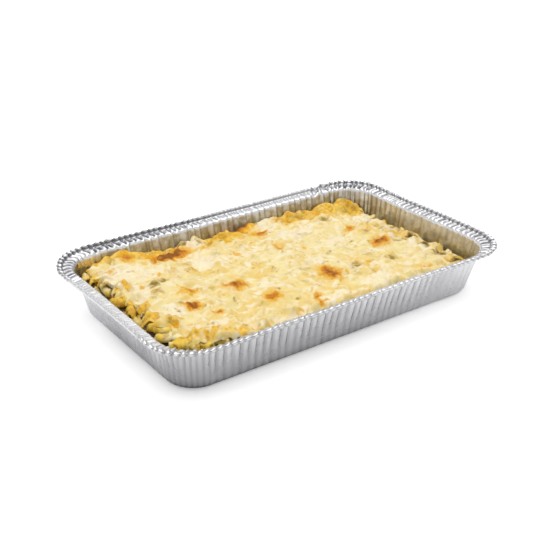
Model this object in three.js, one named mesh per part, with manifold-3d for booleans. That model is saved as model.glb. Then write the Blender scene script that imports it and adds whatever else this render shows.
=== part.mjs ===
// A catering-size foil tray of baked macaroni with cheese melted over it.
//
// Millimetres, +Z up. The origin is the centre of the tray's base, on the surface that it stands on.
// +X runs along the long sides, and the front long side faces -Y.
// Three pieces: the foil tray, the macaroni bake that fills it, and the cheese melted over the bake.

import * as THREE from "three";
import { mergeVertices } from "three/addons/utils/BufferGeometryUtils.js";
import Module from "manifold-3d";

const wasm = await Module();
wasm.setup();

// ---------------------------------------------------------------- driving dimensions

const tray = {
  length: 527, // over the rolled rim, as a full-size catering pan
  width: 330,
  height: 74, // to the top of the rolled rim
  foil: 0.6, // a solid's thickness, several times that of real foil
  curl: 5.5, // diameter of the rolled edge
  flangeOuterZ: 69, // the flange falls gently from the rolled edge to the wall
  flangeInnerZ: 67.4,
  rimWidth: 16.7, // rolled edge and flange together, on a long side
  endRim: 2.5, // the rim of a short side is this much wider
  wallFoot: 30.8, // inset of the wall's foot, where the heel begins
  heel: 14, // radius of the rounded edge between wall and base
  draft: 14, // slope of the wall from the vertical, in degrees
  rimCorner: 57, // corner radii in plan
  wallCorner: 45,
  footCorner: 39,
  baseCorner: 31, // of the flat part of the base
};

const flutes = {
  long: 36, // on the straight of a long side
  short: 19, // on the straight of a short side
  corner: 9, // fanned round a corner
  depth: 1.3, // from the wall's middle surface to a ridge or a valley
  onHeel: 0.3, // share of that depth halfway round the heel
  onFlange: 0.5, // share of it at the flange's inner edge
  crimp: 0.7, // height of the waves in the rim's gathered corners
  onCurl: 0.5, // share of that height on the rolled edge
};

const liftedCorner = { rise: 2.5, spread: 150 }; // the back right corner of the rim is bent up a little

const meal = {
  level: 51.5, // top of the cheese halfway along a side
  crown: 5, // the middle stands this much higher
  heap: { rise: 9, from: -85, to: -195 }, // it is heaped up at the left end
  slump: { fall: 13, from: 165, to: 240 }, // and slumps down to the right-hand wall
  clearance: 0.5, // between the foil and the food
  belowRim: 2, // the bake can't reach nearer to the flange than this
};

const swells = [
  { alongX: 151, alongY: 233, phase: 0.4, height: 1.1 },
  { alongX: 83, alongY: -117, phase: 2.1, height: 0.8 },
  { alongX: -41, alongY: 52, phase: 4.0, height: 0.5 },
];

const cheese = {
  thickness: 5,
  gap: 0.3, // between the cheese and the bake that it lies on
  edge: 1.4, // thickness at its rim
  slope: 7, // width of the rounded rim
  margin: 4, // from the wall, where it reaches furthest
  waver: { coarse: 0.6, fine: 0.9, coarseTurns: 10, fineTurns: 23 }, // how the rim runs in and out
  points: 70, // round the rim
};

// Where the cheese stops short of the wall, so that the macaroni shows: direction from the middle in
// degrees, how far it stops short, and how wide the bay is in degrees.
const bays = [
  { towards: 178, reach: 31, spread: 19 },
  { towards: 204, reach: 28, spread: 9 },
  { towards: 138, reach: 27, spread: 13 },
  { towards: 96, reach: 28, spread: 10 },
  { towards: 43, reach: 31, spread: 13 },
  { towards: -27, reach: 20, spread: 6 },
];

const macaroni = {
  diameter: 10.5,
  bore: 6,
  boreDepth: 5,
  bend: 13, // radius of an elbow's centreline
  sweep: 1.7, // angle of an elbow, in radians
  sides: 6,
  steps: 3,
  spacing: 16.4, // between the rows of the pattern that the elbows are laid in
  sunk: 0.32, // share of the diameter that lies below the bake's top
  jitter: 4, // how far an elbow may lie from its place in the pattern
  tilt: 0.35, // how steeply it may lie, in radians
  tries: 7, // ways of laying an elbow before its place is left empty
  openMouth: 0.35, // share of an end's hollow that must be in the open for it to be cut
};

const foodCell = 24; // mesh size of the food's uneven tops
const marginDrop = { depth: 3, from: 48, to: 24 }; // the bare bake is lower, this far from the walls

// ---------------------------------------------------------------- small helpers

// The same numbers between 0 and 1 on every run.
function seededRandom(seed) {
  let state = seed;
  return () => {
    state = (state * 1664525 + 1013904223) % 4294967296;
    return state / 4294967296;
  };
}

// A closed three.js geometry as a manifold-3d solid.
function solidOf(geometry) {
  const plain = geometry.clone();
  plain.deleteAttribute("normal");
  plain.deleteAttribute("uv");
  const merged = mergeVertices(plain, 1e-4);
  return new wasm.Manifold(
    new wasm.Mesh({
      numProp: 3,
      vertProperties: new Float32Array(merged.attributes.position.array),
      triVerts: new Uint32Array(merged.index.array),
    }),
  );
}

// A manifold-3d solid as a three.js geometry.
function geometryOf(solid) {
  const mesh = solid.getMesh();
  const geometry = new THREE.BufferGeometry();
  geometry.setAttribute("position", new THREE.BufferAttribute(mesh.vertProperties, 3));
  geometry.setIndex(new THREE.BufferAttribute(mesh.triVerts, 1));
  geometry.computeVertexNormals();
  return geometry;
}

function mix(a, b, t) {
  return a + (b - a) * t;
}

// Rises smoothly from 0 to 1 as a value goes from one limit to the other.
function ramp(value, { from, to }) {
  const t = THREE.MathUtils.clamp((value - from) / (to - from), 0, 1);
  return t * t * (3 - 2 * t);
}

// A closed surface through rings of equal length, with a flat cap at each end.
function loftRings(rings) {
  const count = rings[0].length;
  const index = [];
  for (let r = 0; r + 1 < rings.length; r++)
    for (let i = 0; i < count; i++) {
      const a = r * count + i;
      const b = r * count + ((i + 1) % count);
      index.push(a, b, b + count, a, b + count, a + count);
    }
  const capOf = (ring) => {
    const plan = ring.map((point) => new THREE.Vector2(point.x, point.y));
    return THREE.ShapeUtils.triangulateShape(plan, []);
  };
  const last = (rings.length - 1) * count;
  for (const [a, b, c] of capOf(rings[0])) index.push(a, c, b);
  for (const [a, b, c] of capOf(rings.at(-1))) index.push(last + a, last + b, last + c);
  const geometry = new THREE.BufferGeometry();
  const positions = rings.flat().flatMap((point) => point.toArray());
  geometry.setAttribute("position", new THREE.Float32BufferAttribute(positions, 3));
  geometry.setIndex(index);
  geometry.computeVertexNormals();
  return geometry;
}

// ---------------------------------------------------------------- the tray's plan

// Stations run once round the tray, anticlockwise from the front left corner. Each lies on a straight side
// or on a corner's arc, and is a flute's ridge or valley by turns.
function perimeterStations() {
  const corners = [
    [1, -1],
    [1, 1],
    [-1, 1],
    [-1, -1],
  ];
  const quarter = Math.PI / 2;
  const made = [];
  corners.forEach((corner, side) => {
    const from = corners[(side + 3) % 4];
    const facing = (side - 1) * quarter;
    const alongSide = 2 * (side % 2 === 0 ? flutes.long : flutes.short);
    const roundCorner = 2 * flutes.corner;
    for (let i = 0; i < alongSide; i++)
      made.push({ from, to: corner, t: i / alongSide, facing, bend: 0 });
    for (let i = 0; i < roundCorner; i++) {
      const turned = facing + (i / roundCorner) * quarter;
      made.push({ from: corner, to: corner, t: 0, facing: turned, bend: 1 });
    }
  });
  return made.map((station, i) => ({ ...station, wave: i % 2 === 0 ? 1 : -1 }));
}

const stations = perimeterStations();

// How far the rim is bent up, near the lifted corner.
function rimRise(x, y) {
  const distance = Math.hypot(x - tray.length / 2, y - tray.width / 2);
  return liftedCorner.rise * ramp(distance, { from: liftedCorner.spread, to: 0 });
}

// One ring of points round the tray: a rounded rectangle, set in from the rim's outer edge.
function ring({ inset, z, corner, ends = 0, fluted = 0, crimped = 0, lifted = 0 }) {
  const halfX = tray.length / 2 - inset - ends;
  const halfY = tray.width / 2 - inset;
  return stations.map(({ from, to, t, facing, bend, wave }) => {
    const reach = corner + fluted * wave * flutes.depth;
    const x = mix(from[0], to[0], t) * (halfX - corner) + Math.cos(facing) * reach;
    const y = mix(from[1], to[1], t) * (halfY - corner) + Math.sin(facing) * reach;
    const rise = lifted * rimRise(x, y) + crimped * bend * wave * flutes.crimp;
    return new THREE.Vector3(x, y, z + rise);
  });
}

const draftAngle = THREE.MathUtils.degToRad(tray.draft);
const heelTop = tray.heel * (1 - Math.sin(draftAngle));
const heelCentre = tray.wallFoot + tray.heel * Math.cos(draftAngle);

// The wall's inset at a height, how much more it is on a short side, and its corner radius.
function wallAt(z) {
  const up = THREE.MathUtils.clamp((z - heelTop) / (tray.flangeInnerZ - heelTop), 0, 1);
  return {
    inset: mix(tray.wallFoot, tray.rimWidth, up),
    ends: tray.endRim * up,
    corner: mix(tray.footCorner, tray.wallCorner, up),
  };
}

// A ring on the heel: turn 0 is the base's edge, and 1 is the wall's foot.
function heelRing(turn, thickness, fluted) {
  const angle = turn * (Math.PI / 2 - draftAngle);
  const radius = tray.heel - thickness;
  const inset = heelCentre - radius * Math.sin(angle);
  const corner = mix(tray.baseCorner, tray.footCorner, turn);
  return ring({ inset, z: tray.heel - radius * Math.cos(angle), corner, fluted });
}

// ---------------------------------------------------------------- foil tray

function foilTray() {
  const { foil, curl, height, rimCorner, wallCorner, rimWidth, endRim, flangeOuterZ, flangeInnerZ } = tray;
  const onCurl = (inset, z) =>
    ring({ inset, z, corner: rimCorner - inset, crimped: flutes.onCurl, lifted: 1 });
  const onFlange = (inset, z) => {
    const corner = wallCorner + rimWidth - inset;
    return ring({ inset, ends: endRim, z, corner, fluted: flutes.onFlange, crimped: 1, lifted: 1 });
  };
  return loftRings([
    heelRing(0, 0, 0),
    heelRing(0.5, 0, flutes.onHeel),
    heelRing(1, 0, 1),
    onFlange(rimWidth, flangeInnerZ - foil),
    onCurl(curl, flangeOuterZ - foil),
    onCurl(0, height - curl * 0.75),
    onCurl(0, height - curl * 0.3),
    onCurl(curl * 0.5, height),
    onCurl(curl, flangeOuterZ),
    onFlange(rimWidth + foil, flangeInnerZ),
    heelRing(1, foil, 1),
    heelRing(0, foil, 0),
  ]);
}

// ---------------------------------------------------------------- levels of the food

function unevenness(x, y) {
  const wave = ({ alongX, alongY, phase, height }) =>
    height * Math.sin((2 * Math.PI * x) / alongX + (2 * Math.PI * y) / alongY + phase);
  return swells.reduce((sum, swell) => sum + wave(swell), 0);
}

// The top of the whole meal: crowned and uneven, heaped at the left and slumped at the right.
function mealTop(x, y) {
  const acrossX = (2 * x) / tray.length;
  const acrossY = (2 * y) / tray.width;
  const crown = meal.crown * Math.max(0, 1 - acrossX ** 2) * Math.max(0, 1 - acrossY ** 2);
  const heap = meal.heap.rise * ramp(x, meal.heap);
  const slump = meal.slump.fall * ramp(x, meal.slump);
  return meal.level + crown + heap - slump + unevenness(x, y);
}

// The top of the bake lies under the cheese, and lower near the walls.
function bakeTop(x, y) {
  const toWall = Math.min(tray.length / 2 - Math.abs(x), tray.width / 2 - Math.abs(y)) - tray.rimWidth;
  const drop = marginDrop.depth * ramp(toWall, marginDrop);
  return mealTop(x, y) - cheese.thickness - cheese.gap - drop;
}

// The space inside the foil, clear of every flute, up to a little below the flange.
function insideOfTray() {
  const off = flutes.depth + tray.foil + meal.clearance;
  const floor = tray.foil + meal.clearance;
  const fewer = (points) => points.filter((_, i) => i % 4 === 0);
  const wallRing = (z) => {
    const { inset, ends, corner } = wallAt(z);
    return fewer(ring({ inset: inset + off, ends, z, corner: corner - off }));
  };
  const base = ring({ inset: heelCentre, z: floor, corner: tray.baseCorner });
  const top = tray.flangeInnerZ - meal.belowRim;
  return solidOf(loftRings([fewer(base), wallRing(heelTop), wallRing(top)]));
}

// A block with a flat underside, whose top follows a height over the plan.
function heightBlock(heightAt, bottom) {
  const sizeX = tray.length - 2 * tray.rimWidth;
  const sizeY = tray.width - 2 * tray.rimWidth;
  const cellsX = Math.round(sizeX / foodCell);
  const cellsY = Math.round(sizeY / foodCell);
  const geometry = new THREE.BoxGeometry(sizeX, sizeY, 2, cellsX, cellsY, 1);
  const position = geometry.attributes.position;
  for (let i = 0; i < position.count; i++) {
    const isTop = position.getZ(i) > 0;
    position.setZ(i, isTop ? heightAt(position.getX(i), position.getY(i)) : bottom);
  }
  return solidOf(geometry);
}

// ---------------------------------------------------------------- melted cheese

// The cheese's rim in plan, set in from the wall, with a bay wherever the macaroni shows.
function cheeseRim() {
  const { inset, ends, corner } = wallAt(meal.level);
  const halfX = tray.length / 2 - inset - ends - cheese.margin;
  const halfY = tray.width / 2 - inset - cheese.margin;
  const path = new THREE.Path();
  path.moveTo(0, -halfY);
  path.lineTo(halfX - corner, -halfY);
  path.absarc(halfX - corner, corner - halfY, corner, -Math.PI / 2, 0);
  path.absarc(halfX - corner, halfY - corner, corner, 0, Math.PI / 2);
  path.absarc(corner - halfX, halfY - corner, corner, Math.PI / 2, Math.PI);
  path.absarc(corner - halfX, corner - halfY, corner, Math.PI, 1.5 * Math.PI);
  path.closePath();
  const points = path.getSpacedPoints(cheese.points).slice(0, cheese.points);
  return points.map((point, i) => {
    const before = points.at(i - 1);
    const after = points[(i + 1) % points.length];
    const inward = new THREE.Vector2(before.y - after.y, after.x - before.x).normalize();
    const direction = THREE.MathUtils.radToDeg(point.angle());
    const short = bays.reduce((sum, { towards, reach, spread }) => {
      const off = ((direction - towards + 540) % 360) - 180;
      return sum + reach * Math.exp(-((off / spread) ** 2));
    }, 0);
    const around = (2 * Math.PI * i) / points.length;
    const { coarse, fine, coarseTurns, fineTurns } = cheese.waver;
    const waver = coarse * (1 + Math.sin(coarseTurns * around)) + fine * (1 + Math.sin(fineTurns * around));
    return point.clone().addScaledVector(inward, short + waver);
  });
}

// The cheese fills the rim's outline between two uneven heights, and its rim is rounded off.
function meltedCheese(inside) {
  const rim = cheeseRim();
  const ringAt = (inward, heightAt) =>
    rim.map(({ x, y }) => {
      const scale = 1 - inward / (tray.width / 2);
      return new THREE.Vector3(x * scale, y * scale, heightAt(x, y));
    });
  const lowest = tray.heel;
  const highest = tray.height + meal.crown;
  const rimZ = (x, y) => bakeTop(x, y) + cheese.gap + cheese.edge;
  const outline = loftRings([
    ringAt(0, () => lowest),
    ringAt(0, rimZ),
    ringAt(cheese.slope * 0.35, (x, y) => mix(rimZ(x, y), mealTop(x, y), 0.7)),
    ringAt(cheese.slope, (x, y) => mealTop(x, y) + 1),
    ringAt(cheese.slope, () => highest),
  ]);
  const bakeAndGap = heightBlock((x, y) => bakeTop(x, y) + cheese.gap, 0);
  const upToTop = heightBlock(mealTop, 0);
  return solidOf(outline).intersect(inside).intersect(upToTop).subtract(bakeAndGap);
}

// ---------------------------------------------------------------- macaroni bake

// The centreline of one elbow, lying flat, with its middle at the origin.
class Elbow extends THREE.Curve {
  getPoint(t, target = new THREE.Vector3()) {
    const angle = (t - 0.5) * macaroni.sweep;
    const { bend } = macaroni;
    return target.set(bend * Math.sin(angle), bend * Math.cos(angle) - bend, 0);
  }
}

function elbowRod(diameter) {
  const corners = Array.from({ length: macaroni.sides }, (_, i) => {
    const angle = ((i + 0.5) / macaroni.sides) * 2 * Math.PI;
    return new THREE.Vector2(Math.cos(angle), Math.sin(angle)).multiplyScalar(diameter / 2);
  });
  const section = new THREE.Shape(corners);
  return new THREE.ExtrudeGeometry(section, { extrudePath: new Elbow(), steps: macaroni.steps });
}

// The short hollow at each end of an elbow.
function elbowHollows() {
  const { bend, sweep, bore, boreDepth } = macaroni;
  return [-1, 1].map((end) => {
    const angle = (end * sweep) / 2;
    const hollow = new THREE.CylinderGeometry(bore / 2, bore / 2, 2 * boreDepth, 6);
    hollow.rotateZ(-angle - Math.PI / 2);
    return hollow.translate(bend * Math.sin(angle), bend * Math.cos(angle) - bend, 0);
  });
}

// Elbows are laid over the bare bake in staggered rows, each turned at random until it has room.
function elbowPlaces(hasRoom) {
  const random = seededRandom(11);
  const either = (size) => (random() - 0.5) * 2 * size;
  const { spacing, tries, diameter, sunk, jitter, tilt } = macaroni;
  const rows = Math.floor(tray.width / 2 / spacing);
  const columns = Math.floor(tray.length / 2 / spacing);
  const places = [];
  for (let row = -rows; row <= rows; row++)
    for (let column = -columns; column <= columns; column++) {
      const middle = { x: (column + (row % 2) / 2) * spacing, y: row * spacing };
      for (let i = 0; i < tries; i++) {
        const x = middle.x + either(jitter);
        const y = middle.y + either(jitter);
        const z = bakeTop(x, y) + diameter * (0.5 - sunk);
        const place = { x, y, z, turn: either(Math.PI), tilt: either(tilt) };
        if (!hasRoom(place)) continue;
        places.push(place);
        break;
      }
    }
  return places;
}

function laid(geometry, { x, y, z, turn, tilt }) {
  return geometry.clone().rotateX(tilt).rotateZ(turn).translate(x, y, z);
}

function macaroniBake(core, inside, cheeseSolid) {
  const room = elbowRod(macaroni.diameter + 2 * cheese.gap);
  const hasRoom = (place) => {
    const needed = solidOf(laid(room, place));
    const isInside = needed.subtract(inside).volume() < 0.01;
    return isInside && needed.intersect(cheeseSolid).volume() === 0;
  };
  const rod = elbowRod(macaroni.diameter);
  const places = elbowPlaces(hasRoom);
  const rods = places.map((place) => solidOf(laid(rod, place)));
  const heap = rods.reduce((sum, next) => sum.add(next), core);
  // Only a hollow whose mouth is open to the air is cut, as one with a buried mouth would be sealed.
  const mouths = places.flatMap((place) => elbowHollows().map((hollow) => solidOf(laid(hollow, place))));
  const isOpen = (hollow) => hollow.subtract(heap).volume() > macaroni.openMouth * hollow.volume();
  return mouths.filter(isOpen).reduce((sum, next) => sum.subtract(next), heap);
}

// ---------------------------------------------------------------- the whole meal

const foilMaterial = new THREE.MeshStandardMaterial({ color: 0xc9cbcf, metalness: 1, roughness: 0.3 });
const pastaMaterial = new THREE.MeshStandardMaterial({ color: 0xe2b03c, metalness: 0, roughness: 0.45 });
const cheeseMaterial = new THREE.MeshStandardMaterial({ color: 0xf6e09a, metalness: 0, roughness: 0.4 });

function piece(name, geometry, material) {
  const mesh = new THREE.Mesh(geometry, material);
  mesh.name = name;
  return mesh;
}

const inside = insideOfTray();
const core = heightBlock(bakeTop, 0).intersect(inside);
const cheeseSolid = meltedCheese(inside);
const bakeSolid = macaroniBake(core, inside, cheeseSolid);

const foilTrayMeal = new THREE.Group();
foilTrayMeal.name = "foil_tray_meal";
foilTrayMeal.add(
  piece("foil_tray", foilTray(), foilMaterial),
  piece("macaroni_bake", geometryOf(bakeSolid), pastaMaterial),
  piece("melted_cheese", geometryOf(cheeseSolid), cheeseMaterial),
);

export default foilTrayMeal;
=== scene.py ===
import bmesh
import bpy
import numpy as np
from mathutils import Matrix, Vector


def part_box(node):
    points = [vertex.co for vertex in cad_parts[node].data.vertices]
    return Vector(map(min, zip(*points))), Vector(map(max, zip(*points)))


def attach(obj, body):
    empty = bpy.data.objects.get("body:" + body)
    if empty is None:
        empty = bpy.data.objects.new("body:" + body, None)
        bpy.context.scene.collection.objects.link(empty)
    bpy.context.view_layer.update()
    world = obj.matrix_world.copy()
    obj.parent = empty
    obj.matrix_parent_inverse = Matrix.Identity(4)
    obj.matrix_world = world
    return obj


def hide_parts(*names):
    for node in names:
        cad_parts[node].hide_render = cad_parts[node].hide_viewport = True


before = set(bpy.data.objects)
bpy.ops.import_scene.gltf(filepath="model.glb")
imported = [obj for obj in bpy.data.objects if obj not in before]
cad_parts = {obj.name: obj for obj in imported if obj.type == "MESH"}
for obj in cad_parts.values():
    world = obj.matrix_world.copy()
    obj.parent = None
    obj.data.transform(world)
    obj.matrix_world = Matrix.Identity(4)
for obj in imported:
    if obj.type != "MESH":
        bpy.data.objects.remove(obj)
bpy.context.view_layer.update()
mm = 0.001


# small helpers for shapes

def ramp(value, start, end):
    # smooth step t*t*(3 - 2t), with t running from 0 at start to 1 at end
    t = np.clip((value - start) / (end - start), 0, 1)
    return t * t * (3 - 2 * t)


def mix(a, b, t):
    # a where t is 0, b where it is 1
    return a + (b - a) * t


def bell(distance, reach):
    # exp(-(distance / reach) squared)
    return np.exp(-(distance / reach) ** 2)


def turned(x, y, along, aside, turn):
    # the place that lies so far along and aside from x, y when both directions are turned by that angle
    return x + along * np.cos(turn) - aside * np.sin(turn), y + along * np.sin(turn) + aside * np.cos(turn)


def unevenness(x, y, size, seed, waves=22):
    # sum of plane waves in random directions, each about size long, scaled to a spread of about 1
    draw = np.random.default_rng(seed)
    total = 0
    for _ in range(waves):
        turn, start = draw.uniform(0, 2 * np.pi, 2)
        length = size * draw.uniform(0.75, 1.7)
        total = total + np.cos(2 * np.pi * (x * np.cos(turn) + y * np.sin(turn)) / length + start)
    return total * np.sqrt(2 / waves)


def roundTheLoop(share, lowest, highest, seed):
    # sum of whole waves round a closed loop, from lowest to highest waves a turn, spread about 1
    draw = np.random.default_rng(seed)
    counts = np.arange(lowest, highest + 1)
    starts = draw.uniform(0, 2 * np.pi, len(counts))
    return sum(np.cos(2 * np.pi * n * share + s) for n, s in zip(counts, starts)) * np.sqrt(2 / len(counts))


def linked(name, data):
    # a new object in the scene
    thing = bpy.data.objects.new(name, data)
    bpy.context.scene.collection.objects.link(thing)
    return thing


def newPiece(name, points, faces, material, node, values=None, seam=()):
    # points in millimetres, one row each; faces as rows of four point numbers; values by attribute name
    mesh = bpy.data.meshes.new(name)
    mesh.vertices.add(len(points))
    mesh.vertices.foreach_set("co", (np.asarray(points) * mm).ravel())
    mesh.loops.add(faces.size)
    mesh.loops.foreach_set("vertex_index", faces.ravel())
    mesh.polygons.add(len(faces))
    mesh.polygons.foreach_set("loop_start", np.arange(0, faces.size, 4))
    mesh.update(calc_edges=True)
    for key, numbers in (values or {}).items():
        attribute = mesh.attributes.new(key, "FLOAT", "POINT")
        attribute.data.foreach_set("value", np.asarray(numbers, np.float32).ravel())
    if len(seam):
        work = bmesh.new()
        work.from_mesh(mesh)
        work.verts.ensure_lookup_table()
        bmesh.ops.remove_doubles(work, verts=[work.verts[i] for i in seam], dist=0.01 * mm)
        work.to_mesh(mesh)
        work.free()
    mesh.polygons.foreach_set("use_smooth", np.ones(len(mesh.polygons), bool))
    mesh.materials.append(material)
    piece = linked(name, mesh)
    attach(piece, "root")
    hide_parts(node)


def closedShell(name, rows, material, node, values=None):
    # rows[k, i] is point i of row k. Quads join each row to the next, all the way round. The first and
    # the last row have shrunk to a line, which is welded shut.
    count, stations = rows.shape[:2]
    k, i = np.meshgrid(np.arange(count - 1), np.arange(stations), indexing="ij")
    a = k * stations + i
    b = k * stations + (i + 1) % stations
    faces = np.stack([a, b, b + stations, a + stations], -1).reshape(-1, 4)
    points = rows.reshape(-1, 3)
    p, q, r, s = (points[faces[:, n]] for n in range(4))
    volume = np.sum(p * np.cross(q, r)) + np.sum(p * np.cross(r, s))
    if volume < 0:
        faces = faces[:, ::-1].copy()
    seam = [*range(stations), *range((count - 1) * stations, count * stations)]
    newPiece(name, points, faces, material, node, values, seam)


# small helpers for materials

def newMaterial(name):
    # a material and its Principled shader
    material = bpy.data.materials.new(name)
    material.use_nodes = True
    return material, material.node_tree.nodes["Principled BSDF"]


def setInputs(tree, node, inputs):
    # an input is a value, or another node's output socket
    for key, value in inputs.items():
        if isinstance(value, bpy.types.NodeSocket):
            tree.links.new(value, node.inputs[key])
        else:
            node.inputs[key].default_value = value


def addNode(tree, kind, inputs=None, **settings):
    # a shader node with its settings and inputs
    node = tree.nodes.new("ShaderNode" + kind)
    for key, value in settings.items():
        setattr(node, key, value)
    setInputs(tree, node, inputs or {})
    return node


def blendColours(tree, share, first, second, kind="MIX"):
    # first where share is 0, second where it is 1
    first, second = ((*colour, 1) if isinstance(colour, tuple) else colour for colour in (first, second))
    inputs = {0: share, 6: first, 7: second}
    return addNode(tree, "Mix", inputs, data_type="RGBA", blend_type=kind).outputs[2]


def calculate(tree, operation, first, second=0.0, third=0.0):
    # one sum with values or other sums
    return addNode(tree, "Math", {0: first, 1: second, 2: third}, operation=operation).outputs[0]


def remap(tree, value, fromLow, fromHigh, toLow=0.0, toHigh=1.0):
    # smooth step from toLow where the value is fromLow to toHigh where it is fromHigh
    inputs = {"Value": value, "From Min": fromLow, "From Max": fromHigh, "To Min": toLow, "To Max": toHigh}
    return addNode(tree, "MapRange", inputs, interpolation_type="SMOOTHSTEP").outputs[0]


def layColours(tree, colour, layers):
    # colours laid over each other: each layer's mask, where that comes in, from and to, the layer's
    # strongest share, and its colour
    for mask, start, end, share, layer in layers:
        colour = blendColours(tree, remap(tree, mask, start, end, 0, share), colour, layer)
    return colour


def given(tree, name):
    # a value that the mesh carries at its points
    return addNode(tree, "Attribute", attribute_name=name).outputs["Fac"]


def addBump(tree, height, strength, depth, under=None):
    # a bump that is depth millimetres deep, laid over another one
    inputs = {"Height": height, "Strength": strength, "Distance": depth * mm}
    if under is not None:
        inputs["Normal"] = under
    return addNode(tree, "Bump", inputs).outputs[0]


def makeMottle():
    # soft patches of two sizes as one mask from 0 to 1, and a fine grain as a height
    group = bpy.data.node_groups.new("mottle", "ShaderNodeTree")
    for name, value in (("Patch Size", 60.0), ("Grain Size", 700.0), ("Stretch", 1.0)):
        socket = group.interface.new_socket(name, in_out="INPUT", socket_type="NodeSocketFloat")
        socket.default_value = value
    for name in ("Mask", "Grain"):
        group.interface.new_socket(name, in_out="OUTPUT", socket_type="NodeSocketFloat")
    inputs, outputs = group.nodes.new("NodeGroupInput"), group.nodes.new("NodeGroupOutput")
    place = addNode(group, "TexCoord").outputs["Object"]
    patchSize, grainSize, stretch = inputs.outputs[:3]
    along = addNode(group, "CombineXYZ", {"X": stretch, "Y": 1.0, "Z": 1.0}).outputs[0]
    pulled = addNode(group, "VectorMath", {0: place, 1: along}, operation="MULTIPLY").outputs[0]
    coarse = {"Vector": pulled, "Scale": patchSize, "Detail": 4.0, "Roughness": 0.6}
    patches = addNode(group, "TexNoise", coarse).outputs["Fac"]
    grain = addNode(group, "TexNoise", {"Vector": pulled, "Scale": grainSize, "Detail": 2.0}).outputs["Fac"]
    setInputs(group, outputs, {"Mask": remap(group, patches, 0.34, 0.66), "Grain": grain})
    return group


def addMottle(tree, patchSize, grainSize, stretch=1.0):
    # sizes in millimetres
    node = addNode(tree, "Group", node_tree=mottle)
    scales = {"Patch Size": 1 / (patchSize * mm), "Grain Size": 1 / (grainSize * mm), "Stretch": stretch}
    setInputs(tree, node, scales)
    return node.outputs


mottle = makeMottle()


# the tray's plan, shared by the foil and by the food in it

low, high = (np.array(corner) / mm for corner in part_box("foil_tray"))

tray = dict(
    length=high[0] - low[0],
    width=high[1] - low[1],
    rimTop=74.0,
    foil=0.5,
    curl=5.5,           # diameter of the rolled edge
    flangeOuterZ=69.0,
    flangeInnerZ=67.4,
    rimWidth=16.7,      # rolled edge and flange, on a long side
    endRim=2.5,         # a short side's rim is this much wider
    wallFoot=30.8,      # inset of the wall's foot
    heel=14.0,          # radius between wall and base
    draft=np.radians(14),
    rimCorner=57.0,
    wallCorner=45.0,
    footCorner=39.0,
    baseCorner=31.0,
)
tray["heelTop"] = tray["heel"] * (1 - np.sin(tray["draft"]))
tray["heelCentre"] = tray["wallFoot"] + tray["heel"] * np.cos(tray["draft"])
halfLength, halfWidth = tray["length"] / 2, tray["width"] / 2
spine = halfLength - halfWidth      # half of the middle line, which the rings of base and food shrink to


def walkRound(longSteps, shortSteps, cornerSteps):
    # Stations once round a rounded rectangle, anticlockwise from the front left corner's end: how far
    # along its straight each lies, from -1 to 1 in x and y, the way it faces, and its stretch of the loop.
    corners = [(1, -1), (1, 1), (-1, 1), (-1, -1)]
    sx, sy, facing, stretch, t = [], [], [], [], []
    for side, (cx, cy) in enumerate(corners):
        fx, fy = corners[side - 1]
        steps = (longSteps, shortSteps)[side % 2]
        along = np.arange(steps) / steps
        turning = np.arange(cornerSteps) / cornerSteps
        sx += [mix(fx, cx, along), np.full(cornerSteps, cx)]
        sy += [mix(fy, cy, along), np.full(cornerSteps, cy)]
        facing += [np.full(steps, side - 1.0), side - 1 + turning]
        stretch += [np.full(steps, 2 * side), np.full(cornerSteps, 2 * side + 1)]
        t += [along, turning]
    facing = np.concatenate(facing) * np.pi / 2
    walk = dict(sx=np.concatenate(sx), sy=np.concatenate(sy), nx=np.cos(facing), ny=np.sin(facing),
                stretch=np.concatenate(stretch).astype(int), t=np.concatenate(t))
    walk["share"] = np.arange(len(facing)) / len(facing)
    return walk


def turnsAlong(walk, onLong, onShort, onCorner):
    # how many waves lie before each station, with these numbers of waves on each stretch
    counts = np.tile([onLong, onCorner, onShort, onCorner], 2)
    before = np.concatenate([[0], np.cumsum(counts)[:-1]])
    return before[walk["stretch"]] + walk["t"] * counts[walk["stretch"]]


def loopAt(walk, halfX, halfY, corner, out=0.0):
    # a rounded rectangle's points: the corner's centre, plus its radius the way the station faces
    x = walk["sx"] * (halfX - corner) + walk["nx"] * (corner + out)
    y = walk["sy"] * (halfY - corner) + walk["ny"] * (corner + out)
    return x, y


def wallAt(z):
    # the wall's inset, how much more it is on a short side, and its corner radius, at a height
    up = np.clip((z - tray["heelTop"]) / (tray["flangeInnerZ"] - tray["heelTop"]), 0, 1)
    inset = mix(tray["wallFoot"], tray["rimWidth"], up)
    return inset, tray["endRim"] * up, mix(tray["footCorner"], tray["wallCorner"], up)


# foil tray

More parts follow.
